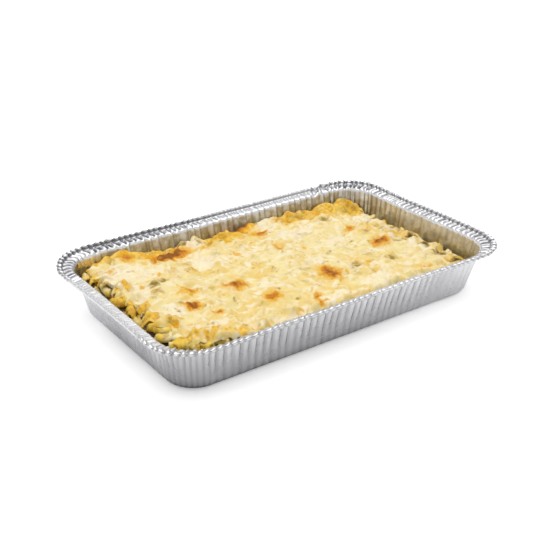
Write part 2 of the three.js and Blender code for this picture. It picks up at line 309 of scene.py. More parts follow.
foil = dict(
    stations=(562, 294, 122),   # points along a long side, a short side and a corner
    flutes=(36, 19, 9),         # how many, likewise
    fluteDepth=1.15,
    unevenFlutes=0.28,
    fluteWander=0.06,           # along the loop, in flutes
    crimps=(46, 24, 10),        # the rim's fine gathers, likewise
    crimpDepth=0.6,             # on the rolled edge
    flangeCrimp=1.0,            # on the flange
    unevenCrimps=0.35,
    crimpWander=0.1,
    narrowCrimps=1.3,           # power that makes the valleys narrower than the crests
    # how strongly the rim is gathered, by place on the loop: the front side is 0 to 1, its right corner
    # 1 to 2, and so on round to the left corner, 7 to 8
    gathers={0: 0.6, 0.12: 0.5, 0.5: 0.35, 0.7: 0.3, 0.97: 0.5, 1: 0.8, 1.5: 1.2, 2: 1, 2.5: 0.8, 2.9: 0.8,
             3: 1, 3.5: 1.35, 3.9: 1.15, 4.03: 0.9, 4.12: 0.15, 4.5: 0.2, 4.65: 0.9, 5: 1.15, 5.5: 1.4,
             6: 0.9, 6.15: 0.1, 6.88: 0.1, 7: 0.6, 7.4: 0.95, 8: 0.6},
    # how deep the wall's flutes are, likewise
    fluting={0: 0.75, 0.1: 0.9, 0.76: 0.95, 0.86: 0.15, 0.97: 0.1, 1.01: 0.9, 1.1: 0.4, 1.5: 0.8, 2: 0.45,
             2.9: 0.45, 3.3: 0.8, 4: 1, 4.85: 1, 5.15: 0.1, 6: 0.12, 6.2: 0.25, 6.8: 0.25, 7: 0.6,
             7.5: 0.75, 8: 0.75},
    # painted shade at the wall's foot, likewise
    footShade={0: 0.9, 0.55: 0.75, 0.9: 0.15, 1.5: 0.2, 2: 1, 5: 1, 5.6: 0.1, 6.1: 0.1, 6.4: 1.12, 7: 1.1,
               7.3: 1.2, 7.8: 1.15, 8: 0.9},
    # painted shade on the wall, the rim and the rolled edge as a whole, likewise
    wallShade={0: 0.12, 0.86: 0.12, 1: 0.05, 1.2: 0.03, 6: 0, 6.95: 0, 7.1: 0.17, 7.9: 0.15, 8: 0.12},
    rimShade={0: 0.35, 0.4: 0.42, 0.55: 0.12, 0.95: 0.12, 1.05: 0.3, 1.4: 0.42, 1.9: 0.42, 2.05: 0.15,
              2.5: 0.2, 3: 0.15, 3.3: 0.2, 3.4: 0.35, 3.65: 0.35, 3.75: 0.2, 4: 0.05, 4.4: 0.04, 4.65: 0.2,
              4.85: 0.45, 5: 0.4, 5.1: 0.12, 5.3: 0.15, 5.42: 0.4, 5.7: 0.6, 5.95: 0.6, 6.1: 0.05, 6.25: 0,
              6.95: 0, 7.1: 0.12, 7.6: 0.15, 7.8: 0.1, 8: 0.35},
    curlShade={0: 0.22, 0.5: 0.18, 0.6: 0.05, 1: 0.1, 1.3: 0, 2.4: 0.05, 3: 0.08, 4.1: 0.12, 4.3: 0.3,
               4.6: 0.45, 5: 0.5, 5.1: 0.22, 6: 0.22, 6.15: 0, 7: 0.05, 8: 0.2},
    lifted=dict(rise=1.3, reach=150.0),     # the back right corner is bent up
    sagging=dict(fall=2.2, start=-80.0, end=-150.0),    # the front side is bent down, between these y
    # and the left edge, between these x and round the middle along y
    drooping=dict(fall=4.0, start=-243.0, end=-260.0, middle=95.0, reach=60.0),
    # the pinched fold at the back: its ends, its ridge, the creases beside it, and where it comes and goes
    pinch=dict(outer=(193.0, 166.0), inner=(150.0, 119.0), height=2.8, crease=2.8, width=4.2,
               creasesAt=(5.5, -5), lesser=0.6, starts=(-16, 4), ends=(6, -10)),
    dents=0.4,
    waver=0.25,                 # slow unevenness of the whole rim
    crinkle=0.16,               # and its fine unevenness
    # where the rows lie on the heel, the wall, the flange and the rolled edge
    heelTurns=(0.2, 0.45, 0.58, 0.7, 0.85, 1),
    wallRows=(0.12, 0.28, 0.46, 0.64, 0.82, 0.94, 1),
    curlAngles=(300, 262, 230, 200, 175, 150, 125, 100, 75, 50, 25, 0),
    flangeRows=(1, 0.85, 0.65, 0.4, 0.18, 0.03),
    innerRows=(0.995, 0.94, 0.84, 0.72, 0.58, 0.42, 0.1),
    tone=(0.87, 0.87, 0.885),
    dullness=0.93,              # brightness of soft patches against the rest
    shade=(0.12, 0.12, 0.13),   # painted shade: deep in the folds' valleys, along the foot and on the rim
    grease=(0.44, 0.37, 0.20),
    greasyHeight=(70, 61),      # none above, full below
    greasyLeft=(0.12, 0.95, -225, -155),    # its share at the left end and further in, and where along x
    greasyRight=(1, 0.65, 215, 240),        # likewise at the right end
    greasyFoot=(0.35, 58, 46),  # this much more low down
    roughness=(0.16, 0.28),     # outside and in soft patches
    greaseRoughness=0.34,       # this much more
    bends=dict(size=11.0, strength=0.25, depth=0.7),
)
standsIn = foil["fluteDepth"] * 1.2 + 2 * foil["dents"] + tray["foil"]   # how far flutes and dents reach in


def foilMaterial():
    # dull patches, painted shade in the folds, along the foot and on the rim, and smeared grease on bare
    # metal with soft bends
    material, shader = newMaterial("pressed foil")
    tree = material.node_tree
    patches, smears = addMottle(tree, 14, 1.6), addMottle(tree, 11, 1.0)
    dull = tuple(channel * foil["dullness"] for channel in foil["tone"])
    tone = blendColours(tree, patches["Mask"], foil["tone"], dull)
    # painted shade that the mesh carries, blended towards the shade colour
    tone = blendColours(tree, given(tree, "paintedShade"), tone, foil["shade"])
    greasy = calculate(tree, "MULTIPLY", given(tree, "greasy"), remap(tree, smears["Mask"], 0, 1, 0.45, 1))
    tone = blendColours(tree, greasy, tone, foil["grease"])
    rough = remap(tree, patches["Mask"], 0, 1, *foil["roughness"])
    rough = calculate(tree, "MULTIPLY_ADD", greasy, foil["greaseRoughness"], rough)
    place, bends = addNode(tree, "TexCoord").outputs["Object"], foil["bends"]
    soft = addNode(tree, "TexNoise", {"Vector": place, "Scale": 1 / (bends["size"] * mm), "Detail": 2.0})
    bump = addBump(tree, soft.outputs["Fac"], bends["strength"], bends["depth"])
    setInputs(tree, shader, {"Base Color": tone, "Roughness": rough, "Normal": bump, "Metallic": 1.0})
    return material


def alongTheLoop(walk, steps):
    # a value between the given steps, by straight lines
    return np.interp(walk["stretch"] + walk["t"], list(steps), list(steps.values()))


def rimLift(x, y):
    # the bent up corner, the sagging front and the drooping left edge, plus a ridge with creases beside it
    # along the pinch's line
    lifted, sagging, drooping, pinch = (foil[key] for key in ("lifted", "sagging", "drooping", "pinch"))
    away = np.hypot(x - halfLength, y - halfWidth)
    lift = lifted["rise"] * ramp(away, lifted["reach"], 0)
    lift = lift - sagging["fall"] * ramp(y, sagging["start"], sagging["end"])
    atEdge = ramp(x, drooping["start"], drooping["end"])
    lift = lift - drooping["fall"] * atEdge * bell(y - drooping["middle"], drooping["reach"])
    start, end = np.array(pinch["outer"]), np.array(pinch["inner"])
    length = np.linalg.norm(end - start)
    way = (end - start) / length
    along = (x - start[0]) * way[0] + (y - start[1]) * way[1]
    across = (x - start[0]) * way[1] - (y - start[1]) * way[0]
    window = ramp(along, *pinch["starts"]) * ramp(along, *(length + np.array(pinch["ends"])))
    ridge = pinch["height"] * bell(across, pinch["width"])
    first, second = (bell(across - place, pinch["width"]) for place in pinch["creasesAt"])
    return lift + window * (ridge - pinch["crease"] * (first + pinch["lesser"] * second))


def foilTray():
    # The wall's cross-section is carried round the plan: out under the base, up the outside, round the
    # rolled edge, and down the inside. Flutes push the wall in and out, and gathers ripple the rim.
    walk = walkRound(*foil["stations"])
    share = walk["share"]
    fluting, strength, footShade, wallShade, rimShade, curlShade = (
        alongTheLoop(walk, foil[key])
        for key in ("fluting", "gathers", "footShade", "wallShade", "rimShade", "curlShade"))
    fluteTurns = turnsAlong(walk, *foil["flutes"]) + foil["fluteWander"] * roundTheLoop(share, 20, 60, 3)
    fluting = fluting * (1 + foil["unevenFlutes"] * roundTheLoop(share, 30, 80, 4))
    flute = np.cos(2 * np.pi * fluteTurns) * fluting
    crimpTurns = turnsAlong(walk, *foil["crimps"]) + foil["crimpWander"] * roundTheLoop(share, 25, 90, 5)
    uneven = 1 + foil["unevenCrimps"] * roundTheLoop(share, 40, 120, 6)
    valley = (0.5 - 0.5 * np.cos(2 * np.pi * crimpTurns)) ** foil["narrowCrimps"]
    crimp = (1 - 2 * valley) * strength * uneven
    # painted shade in the crimps' valleys
    valleyShade = valley * np.clip(strength, 0, 1.3)
    crinkle = foil["crinkle"] * (roundTheLoop(share, 150, 420, 9) + 0.8 * roundTheLoop(share, 60, 150, 10))
    waver = foil["waver"] * roundTheLoop(share, 3, 14, 8)
    dents = foil["dents"] * roundTheLoop(share, 8, 34, 7)

    def row(inset, z, corner, ends=0.0, fluted=0.0, crimped=0.0, onRim=0.0, dented=0.0, shaded=0.0, side=1):
        # side is 1 outside and -1 inside; the fourth value is the painted shade at each point, strongest in
        # the valleys of flutes and crimps
        out = fluted * foil["fluteDepth"] * flute + dented * dents
        x, y = loopAt(walk, halfLength - inset - ends, halfWidth - inset, corner, out)
        rise = onRim * (rimLift(x, y) + waver) + crimped * (foil["flangeCrimp"] * crimp + crinkle)
        # painted shade in the flutes' valleys, and in the crimps' valleys and along the rim
        paintedShade = (0.36 if side > 0 else 0.1) * shaded * ramp(-side * flute, -0.4, 1.0)
        paintedShade = paintedShade + crimped * (0.65 * valleyShade + rimShade)
        return np.stack([x, y, z + rise + 0 * x, paintedShade], -1)

    def baseRow(share, z):
        # from the middle line at share 0 to the base's edge at share 1
        reachX, reachY = halfLength - tray["heelCentre"], halfWidth - tray["heelCentre"]
        x, y = loopAt(walk, reachX, reachY, tray["baseCorner"])
        return np.stack([mix(walk["sx"] * spine, x, share), y * share, z + 0 * x, 0 * x], -1)

    def heelRow(turn, thickness):
        # round the heel, from the base at turn 0 to the wall at turn 1
        angle = turn * (np.pi / 2 - tray["draft"])
        radius = tray["heel"] - thickness
        inset = tray["heelCentre"] - radius * np.sin(angle)
        corner = mix(tray["baseCorner"], tray["footCorner"], turn)
        fluted = 0.4 * ramp(turn, 0.15, 1)
        z = tray["heel"] - radius * np.cos(angle)
        heel = row(inset, z, corner, fluted=fluted, dented=0.3 * turn, shaded=fluted)
        # painted shade along the foot, darkest at the base line
        heel[:, 3] += footShade * mix(0.9, 0.34, ramp(turn, 0.62, 1)) + wallShade * ramp(turn, 0.6, 1)
        return heel

    def wallRow(up, thickness, side=1):
        # from the heel at up 0 to the flange at up 1
        z = mix(tray["heelTop"], tray["flangeInnerZ"] - 1.5, up)
        inset, ends, corner = wallAt(z)
        fluted = mix(0.25, 1.15, ramp(up, 0, 0.8)) * (1 - 0.25 * ramp(up, 0.9, 1))
        fluted = fluted * (1 if side > 0 else 0.8)
        wall = row(inset + thickness, z, corner - thickness, ends, fluted, onRim=ramp(up, 0.3, 1),
                   dented=0.3 + 0.7 * np.sin(np.pi * up), shaded=fluted * (1 - 0.5 * up), side=side)
        # painted shade outside, darker towards the foot
        wall[:, 3] += (0.32 * (1 - up) ** 1.5 * footShade + wallShade) * (side > 0)
        return wall

    def flangeRow(share, under):
        # from the wall's top at share 0 to the rolled edge at share 1
        inset = mix(tray["rimWidth"] - 0.8, tray["curl"] + 1, share)
        z = mix(tray["flangeInnerZ"], tray["flangeOuterZ"], share) - under
        ends = tray["endRim"] * (1 - share)
        corner = tray["wallCorner"] + tray["rimWidth"] - inset
        ripple = 0.3 + 0.7 * np.sin(np.pi * min(1, 0.15 + 0.8 * share))
        flange = row(inset, z, corner, ends, fluted=0.5 * (1 - share), crimped=ripple, onRim=1)
        # painted shade next to the rolled edge
        flange[:, 3] += 0.3 * bell(share - 1, 0.15)
        return flange

    def curlRow(angle):
        # on the rolled edge: angle 0 faces the flange, 90 is its top and 180 its outer side
        around = np.radians(angle)
        radius = tray["curl"] / 2 + foil["crimpDepth"] * (crimp - 0.7 * strength) + 0.5 * crinkle
        inset = 0.35 + tray["curl"] / 2 + radius * np.cos(around)
        z = tray["rimTop"] - tray["curl"] / 2 + radius * np.sin(around)
        edge = row(inset, z, tray["rimCorner"] - tray["curl"] / 2, crimped=0.15, onRim=1)
        # painted shade on the rolled edge: in its crimps' valleys, and darker where it faces the flange
        edge[:, 3] = 0.04 + curlShade + 0.7 * valleyShade + 0.4 * (angle < 20)
        return edge

    thin = tray["foil"]
    rows = [baseRow(share, 0) for share in (0, 0.9, 1)]
    rows += [heelRow(turn, 0) for turn in foil["heelTurns"]]
    rows += [wallRow(up, 0) for up in foil["wallRows"]]
    rows += [flangeRow(share, thin) for share in (0.1, 0.75)]
    rows += [curlRow(angle) for angle in foil["curlAngles"]]
    rows += [flangeRow(share, 0) for share in foil["flangeRows"]]
    rows += [wallRow(up, thin, -1) for up in foil["innerRows"]]
    rows += [baseRow(1, thin), baseRow(0, thin)]
    x, y, z, paintedShade = np.moveaxis(np.array(rows), 2, 0)
    inside = (np.arange(len(rows)) >= len(rows) - len(foil["innerRows"]) - 1)[:, None]
    greasy = ramp(z, *foil["greasyHeight"])
    for atEnd, further, fromX, toX in (foil["greasyLeft"], foil["greasyRight"]):
        greasy = greasy * mix(atEnd, further, ramp(x, fromX, toX))
    more, fromZ, toZ = foil["greasyFoot"]
    greasy = inside * np.minimum(greasy + more * ramp(z, fromZ, toZ), 1)
    values = {"paintedShade": np.clip(paintedShade, 0, 1), "greasy": greasy}
    rows = np.clip(np.stack([x, y, z], -1), low, high)
    closedShell("pressed_foil_tray", rows, foilMaterial(), "foil_tray", values)


foilTray()
print("foil tray made")


# levels of the food

meal = dict(
    level=51.5,         # top of the cheese halfway along a side
    crown=5.0,          # the middle stands this much higher
    heap=(9.0, -85.0, -195.0),      # rise, and from where to where along x: heaped at the left
    slump=(13.0, 165.0, 240.0),     # fall, likewise: slumped at the right
    # mounds and hollows beside the back wall: x, y, reach along x and y, and rise
    mounds=[(-165, 147, 38, 20, 5.5), (-230, 131, 36, 26, -5.5), (-88, 146, 26, 18, -2.5),
            (218, 138, 25, 24, 17.0), (207, 148, 22, 12, 5.0), (60, 146, 40, 18, 1.5)],
    swells=[(151, 233, 0.4, 1.1), (83, -117, 2.1, 0.8), (-41, 52, 4.0, 0.5)],
    thickness=5.3,      # of the cheese, with its gap
    bare=2.5,           # the cheese stays at least this far from the foil
    dip=(3.0, 48, 24),  # the bake's fall near the foil, and between which distances from the rim's inside
    clearance=0.8,      # between the hidden sides of the food and the foil
)

# bays: direction from the middle in degrees, how far the cheese stops short of the wall, and its spread
bays = [
    (180, 17, 15), (206, 24, 8), (167, 8, 4), (155, 9, 8), (96, 2, 10), (31, 7, 5), (-27, 12, 6),
    (16, 8, 2), (5, 4, 2), (-9, 5, 3), (-17, 4, 2), (-23, 4, 2),
]

# gaps between the food and the foil, where neither cheese nor macaroni lies: x, y, reach and depth
gaps = [
    (214, -33, 9, 9), (220, 19, 7, 8), (222, 62, 8, 8), (208, -88, 9, 8), (204, -121, 7, 7),
    (224, 96, 6, 6), (-230, 55, 12, 11), (-231, 40, 7, 8), (-225, 24, 7, 8), (-234, 8, 6, 7),
    (-232, -6, 6, 7), (-234, -44, 8, 8), (-234, -68, 7, 7), (-230, -100, 7, 7), (-219, -124, 6, 6),
]


def mealTop(x, y):
    # level + crown * (1 - (x / halfLength)^2) * (1 - (y / halfWidth)^2) + the heap - the slump + the mounds,
    # which are bells along x and y, + the swells, which are waves
    crown = np.maximum(0, 1 - (x / halfLength) ** 2) * np.maximum(0, 1 - (y / halfWidth) ** 2)
    rise, fromX, toX = meal["heap"]
    fall, slumpX, wallX = meal["slump"]
    top = meal["level"] + meal["crown"] * crown + rise * ramp(x, fromX, toX) - fall * ramp(x, slumpX, wallX)
    for mx, my, reachX, reachY, rise in meal["mounds"]:
        top = top + rise * bell(x - mx, reachX) * bell(y - my, reachY)
    for alongX, alongY, start, height in meal["swells"]:
        top = top + height * np.sin(2 * np.pi * (x / alongX + y / alongY) + start)
    return top


def toWall(x, y, z):
    # distance in plan from the foil at that height, flutes and dents allowed for
    inset, ends, corner = wallAt(z)
    overX = np.abs(x) - (halfLength - inset - ends - corner)
    overY = np.abs(y) - (halfWidth - inset - corner)
    outside = np.hypot(np.maximum(overX, 0), np.maximum(overY, 0)) + np.minimum(np.maximum(overX, overY), 0)
    return corner - standsIn - outside


def besideFoil(walk, z, off=0.0):
    # the loop that stays this far off the foil at that height, flutes and dents allowed for
    inset, ends, corner = wallAt(z)
    off = off + standsIn
    return loopAt(walk, halfLength - inset - ends - off, halfWidth - inset - off, corner - off)


def bareMargin(x, y):
    # how far the cheese stays from the foil in this direction: the sum of the bays, each a bell
    towards = np.degrees(np.arctan2(y, x))
    short = meal["bare"]
    for direction, reach, spread in bays:
        short = short + reach * bell((towards - direction + 540) % 360 - 180, spread)
    return short


def bakeTop(x, y):
    # the bake lies under the cheese, and lower near the foil
    fall, start, end = meal["dip"]
    inside = np.minimum(halfLength - np.abs(x), halfWidth - np.abs(y)) - tray["rimWidth"]
    return mealTop(x, y) - meal["thickness"] - fall * ramp(inside, start, end)


def gapAt(x, y):
    # how far inside a gap a place lies, from 0 to 1, and the gap's depth there
    inside, depth = np.zeros_like(x), np.zeros_like(x)
    for gx, gy, reach, deep in gaps:
        share = bell(np.hypot(x - gx, y - gy), reach)
        inside, depth = np.maximum(inside, share), np.maximum(depth, share * deep)
    return inside, depth


# height maps

cell = 1.0              # in millimetres
mapX = np.arange(-250, 250 + cell, cell)
mapY = np.arange(-155, 155 + cell, cell)
planX, planY = np.meshgrid(mapX, mapY)


def blurred(heights, reach):
    # the map's waves, each damped by exp(-2 (pi * reach * frequency) squared)
    acrossY = np.fft.fftfreq(heights.shape[0], cell)[:, None]
    acrossX = np.fft.rfftfreq(heights.shape[1], cell)[None, :]
    damping = np.exp(-2 * (np.pi * reach) ** 2 * (acrossX ** 2 + acrossY ** 2))
    return np.fft.irfft2(np.fft.rfft2(heights) * damping, s=heights.shape)


def sampled(heights, x, y):
    # the map's height at any places, between its four nearest cells
    i = np.clip((x - mapX[0]) / cell, 0, len(mapX) - 1.001)
    j = np.clip((y - mapY[0]) / cell, 0, len(mapY) - 1.001)
    i0, j0 = i.astype(int), j.astype(int)
    u, v = i - i0, j - j0
    lower = mix(heights[j0, i0], heights[j0, i0 + 1], u)
    upper = mix(heights[j0 + 1, i0], heights[j0 + 1, i0 + 1], u)
    return mix(lower, upper, v)


def windowAt(x, y, reach):
    # the part of the maps within reach of a place
    i, j = (x - mapX[0]) / cell, (y - mapY[0]) / cell
    span = reach / cell
    rows = slice(int(max(0, j - span)), int(max(0, j + span)) + 1)
    return rows, slice(int(max(0, i - span)), int(max(0, i + span)) + 1)


# sauce and macaroni

sauce = dict(
    stations=(270, 140, 42),            # points along a long side, a short side and a corner
    rings=42,
    lumps=((0.9, 13, 21), (0.8, 5, 22)),    # strength, size and seed
    fall=(7.0, 8, -1),                  # at the foil, and between which distances from it
    warm=(0.62, 0.40, 0.03),
    cream=(0.84, 0.66, 0.24),
    baked=(0.40, 0.21, 0.015),
    gap=(0.075, 0.034, 0.005),          # painted shade: dark where the sauce lies deep beside the foil, in the gaps and under the pile
    roughness=0.42,
    shine=0.35,
)

macaroni = dict(
    diameter=10.5,
    bore=6.4,
    bend=13.0,              # radius of an elbow's centreline
    sweep=(1.2, 2.0),       # its angle in radians, shortest and longest
    sizes=(0.88, 1.08),
    spacing=10.0,
    jitter=5.0,
    sunk=(2.0, 5.0),        # how far the lowest lie in the sauce
    steepest=0.4,           # as a slope
    over=2.0,               # in a bay an elbow may stand this far above the meal's top
    under=2.2,              # and elsewhere it stays this far below
    pressed=(-1.5, 0.5),    # an elbow that would stand too high ends this far from there
    inGap=0.65,             # none lies deeper inside a gap
    aroundTube=9,
    oval=0.07,
    warp=0.3,
    shown=16.0,             # elbows are made this far in under the cheese's edge
    golden=(0.73, 0.42, 0.013),
    pale=(0.84, 0.62, 0.10),
    cream=(0.88, 0.77, 0.42),
    toasted=(0.47, 0.22, 0.012),
    roughness=0.38,
    shine=0.35,
)


def sauceTop(x, y):
    # between the elbows: the bake's top, lumpy, and lower in the gaps and where it meets the foil
    top = bakeTop(x, y)
    lumps = sum(strength * unevenness(x, y, size, seed) for strength, size, seed in sauce["lumps"])
    fall, start, end = sauce["fall"]
    return top + lumps - fall * ramp(toWall(x, y, top - 4), start, end) - gapAt(x, y)[1]


def layElbows():
    # Elbows are laid one by one on a map of the pile's height. Each comes down level until it touches, then
    # tilts to rest on both ends, and one that would touch the foil moves in. Its top is added to the map.
    draw = np.random.default_rng(5)
    pile = sauceTop(planX, planY)
    bend, step, steepest, shown = (macaroni[key] for key in ("bend", "spacing", "steepest", "shown"))
    beside = ((0, 0), (3, 0), (-3, 0), (0, 3), (0, -3))     # where the pile under a point is felt
    columns = np.arange(mapX[0], mapX[-1], step)
    rows = np.arange(mapY[0], mapY[-1], step * 0.9)
    places = [(x + step / 2 * (k % 2), y) for k, y in enumerate(rows) for x in columns]
    places = draw.permutation(places) + draw.uniform(-1, 1, (len(places), 2)) * macaroni["jitter"]
    laid = []
    for x, y in places:
        turn, sweep = draw.uniform(0, 2 * np.pi), draw.uniform(*macaroni["sweep"])
        size, sunk, tint = draw.uniform(*macaroni["sizes"]), draw.uniform(*macaroni["sunk"]), draw.uniform()
        radius = macaroni["diameter"] / 2 * size
        angles = np.linspace(-sweep / 2, sweep / 2, 9)
        alongIt = bend * np.sin(angles)
        asideIt = bend * (np.cos(angles) - np.cos(sweep / 4))
        for _ in range(3):
            px, py = turned(x, y, alongIt, asideIt, turn)
            covered = (toWall(px, py, mealTop(px, py)) - bareMargin(px, py)).min()
            floor = np.maximum.reduce([sampled(pile, px + a, py + b) for a, b in beside])
            slope = (floor[-3:].mean() - floor[:3].mean()) / (alongIt[-2] - alongIt[1])
            slope = np.clip(slope, -steepest, steepest)
            settled = (floor - slope * alongIt).max() - sunk + radius * 0.9
            inBay = covered < 4 and bareMargin(x, y) > 6
            limit = mealTop(x, y) - radius + (macaroni["over"] if inBay else -macaroni["under"])
            if covered > shown or settled > limit + 5:
                settled = limit + draw.uniform(*macaroni["pressed"])
                slope = 0.0
            short = radius * 1.04 + 0.3 - toWall(px, py, settled + slope * alongIt).min()
            if short <= 0 or short > 9:
                break
            inX = toWall(x + 1, y, settled) - toWall(x - 1, y, settled)
            inY = toWall(x, y + 1, settled) - toWall(x, y - 1, settled)
            x, y = x + inX * (short + 0.2) / 2, y + inY * (short + 0.2) / 2
        inGap = gapAt(px, py)[0].max() > macaroni["inGap"]
        if inGap or short > 0 or settled > limit + 0.01 and covered < shown:
            continue
        top = settled + slope * alongIt
        near = windowAt(x, y, 26)
        away = np.hypot(planX[near][..., None] - px, planY[near][..., None] - py)
        apart = away.min(-1)
        crown = top[away.argmin(-1)] + np.sqrt(np.maximum(0, radius ** 2 - apart ** 2))
        pile[near] = np.where(apart < radius, np.maximum(pile[near], crown), pile[near])
        laid.append((x, y, settled, turn, slope, sweep, size, covered, tint))
    return pile, np.array(laid)


def elbowMeshes(laid, draw):
    # Each elbow is a bent tube: the angle round the tube, and the way along the outside, over the lip,
    # back through the bore and over the other lip. All are then warped a little.
    x, y, z, turn, slope, sweep, size = (laid[:, k, None, None] for k in range(7))
    radius, bore, bend = macaroni["diameter"] / 2, macaroni["bore"] / 2, macaroni["bend"]
    alongOut = np.array([-1, -0.55, 0, 0.55, 1, 1, 0, -1])
    tubeRadius = np.array([radius] * 5 + [bore] * 3)[None, :, None] * size
    angle = alongOut[None, :, None] * sweep / 2
    around = np.linspace(0, 2 * np.pi, macaroni["aroundTube"], endpoint=False)[None, None, :]
    squeeze = 1 + macaroni["oval"] * np.cos(2 * around + draw.uniform(0, 6, (len(laid), 1, 1)))
    outward = tubeRadius * squeeze * np.cos(around)
    upward = tubeRadius * squeeze * np.sin(around)
    lx = (bend + outward) * np.sin(angle)
    ly = (bend + outward) * np.cos(angle) - bend * np.cos(sweep / 4)
    px, py = turned(x, y, lx, ly, turn)
    kinds = ((9, 24), (9, 25), (7, 23))     # size and seed, along x, y and z
    warps = [macaroni["warp"] * unevenness(px, py, length, seed) for length, seed in kinds]
    points = np.stack([px + warps[0], py + warps[1], z + upward + slope * lx + warps[2]], -1)
    count, rows, sides = points.shape[:3]
    e, k, i = np.meshgrid(np.arange(count), np.arange(rows), np.arange(sides), indexing="ij")

    def number(k, i):
        # of the point at row k and side i of each elbow
        return (e * rows + k % rows) * sides + i % sides

    faces = np.stack([number(k, i), number(k + 1, i), number(k + 1, i + 1), number(k, i + 1)], -1)
    return points.reshape(-1, 3), faces.reshape(-1, 4), np.repeat(laid[:, 8], rows * sides)


pile, laidElbows = layElbows()
print(len(laidElbows), "elbows laid")


def pastaMaterial():
    # golden to pale by elbow and in small patches, coated with sauce in wide ones, and toasted in a few
    material, shader = newMaterial("glazed macaroni")
    tree = material.node_tree
    wide, close, toasted = addMottle(tree, 19, 0.9), addMottle(tree, 6, 0.5), addMottle(tree, 13, 2.0)
    tint = given(tree, "tint")
    share = calculate(tree, "MULTIPLY_ADD", close["Mask"], 0.45, calculate(tree, "MULTIPLY", tint, 0.6))
    coated = calculate(tree, "MULTIPLY_ADD", wide["Mask"], 0.7, calculate(tree, "MULTIPLY", tint, 0.4))
    colour = blendColours(tree, share, macaroni["golden"], macaroni["pale"])
    colour = layColours(tree, colour, [(coated, 0.55, 0.9, 1, macaroni["cream"]),
                                       (toasted["Mask"], 0.72, 1, 0.6, macaroni["toasted"])])
    setInputs(tree, shader, {
        "Base Color": colour, "Roughness": macaroni["roughness"], "Specular IOR Level": macaroni["shine"],
        "Subsurface Weight": 0.15, "Subsurface Radius": (0.004, 0.002, 0.0007), "Subsurface Scale": 1.0,
        "Normal": addBump(tree, close["Grain"], 0.4, 0.3)})
    return material


def sauceMaterial():
    # warm and creamy patches, baked in a few small ones, and painted shade where it lies deep beside the
    # foil, in the gaps and under the pile
    material, shader = newMaterial("baked sauce")
    tree = material.node_tree
    wide, close = addMottle(tree, 16, 1.0), addMottle(tree, 4, 0.6)
    colour = blendColours(tree, wide["Mask"], sauce["warm"], sauce["cream"])
    colour = layColours(tree, colour, [(close["Mask"], 0.6, 1, 0.5, sauce["baked"])])
    # painted shade where the sauce lies deep
    colour = blendColours(tree, given(tree, "deep"), colour, sauce["gap"])
    setInputs(tree, shader, {
        "Base Color": colour, "Roughness": sauce["roughness"], "Specular IOR Level": sauce["shine"],
        "Normal": addBump(tree, close["Grain"], 0.6, 0.6)})
    return material


def macaroniBake():
    # the core: rings from the middle line out over its lumpy top, down beside the foil and back underneath
    walk = walkRound(*sauce["stations"])
    foot, bottom, clearance = tray["heelTop"], tray["foil"] + meal["clearance"], meal["clearance"]
    heelWidth = tray["heelCentre"] - tray["wallFoot"] - 3
    x, y = besideFoil(walk, meal["level"] - 15, clearance)
    x, y = besideFoil(walk, sauceTop(x, y) - 2, clearance)
    middle = walk["sx"] * spine
    rows = []
    for share in [0, 0.3, *np.linspace(0.5, 1, sauce["rings"])]:
        px, py = mix(middle, x, share), y * share
        rows.append((px, py, sauceTop(px, py)))
    rows.append((*besideFoil(walk, foot, clearance), foot + 0 * x))
    rows.append((*besideFoil(walk, foot, clearance + heelWidth), bottom + 0 * x))
    rows.append((middle, 0 * y, bottom + 0 * x))
    px, py, pz = np.moveaxis(np.array(rows), 1, 0)
    under = sampled(blurred(pile, 1.5), px, py) - pz
    # painted shade: deep beside the foil, under the pile and in the gaps
    deep = np.maximum.reduce([ramp(toWall(px, py, pz), 6, 1), ramp(under, 0.5, 4), gapAt(px, py)[0]])
    rows = np.stack([px, py, pz], -1)
    closedShell("bake_core", rows, sauceMaterial(), "macaroni_bake", {"deep": deep})

    shown = laidElbows[laidElbows[:, 7] < macaroni["shown"]]
    points, faces, tint = elbowMeshes(shown, np.random.default_rng(8))
    newPiece("macaroni_elbows", points, faces, pastaMaterial(), "macaroni_bake", {"tint": tint})
    print(len(shown), "elbows made")


macaroniBake()


# melted cheese

cheese = dict(
    stations=(246, 140, 34),    # points along a long side, a short side and a corner
    edge=1.0,           # thickness at its rim
    lip=5.0,            # width of its rounded rim
    drape=16.0,         # width over which it comes down to the elbows
    rimDrop=2.5,        # the rim hangs this much lower
    # raggedness of the rim: strength, fewest and most waves round the loop, and seed
    ragged=((3.2, 14, 50, 61), (2.2, 50, 130, 62)),
    even=dict(x=208, y=140, reachX=30, reachY=25),      # the rim is nearly even round here
    inwards=(0, 0.25, 0.7, 1.4, 2.4, 3.6, 5),   # the first rings' distances from the rim
    # distances of the rings under the sheet, and how far below its top they lie
    under=((100, 4.5), (60, 4.5), (30, 4.5), (12, 4), (3, 1.6)),
    rings=84,
    relief=1.7,         # share of the lumps beneath that shows
    besideFoil=3.2,     # lower than the meal's top where it meets the foil
    swell=1.2,          # height of its own waves
    pits=0.9,           # depth of small pits
    fleckPits=2.2,      # and of olive flecks
    blister=0.8,        # rise of browned spots
    bubbling=0.35,      # and their unevenness
    cream=(0.805, 0.675, 0.33),
    butter=(0.765, 0.55, 0.165),
    milk=(0.85, 0.76, 0.53),
    blush=(0.84, 0.71, 0.47),
    honey=(0.87, 0.59, 0.09),
    gold=(0.75, 0.41, 0.016),
    toast=(0.50, 0.25, 0.018),
    amber=(0.60, 0.21, 0.003),
    brown=(0.20, 0.062, 0.002),
    olive=(0.33, 0.21, 0.03),
    # painted shade, multiplied in where the cheese lies below its shreds
    hollow=(0.60, 0.42, 0.09),
    # painted shade, nearly black, in the darkest olive flecks and in the gaps by the foil
    pitShade=(0.085, 0.045, 0.005),
    roughness=(0.36, 0.5),
    shine=0.18,
)

# shreds of it that kept their shape, and their smallest and largest sizes
shreds = dict(count=1500, length=(8.0, 22.0), width=(1.5, 3.0), height=(0.25, 0.9), bend=0.06)

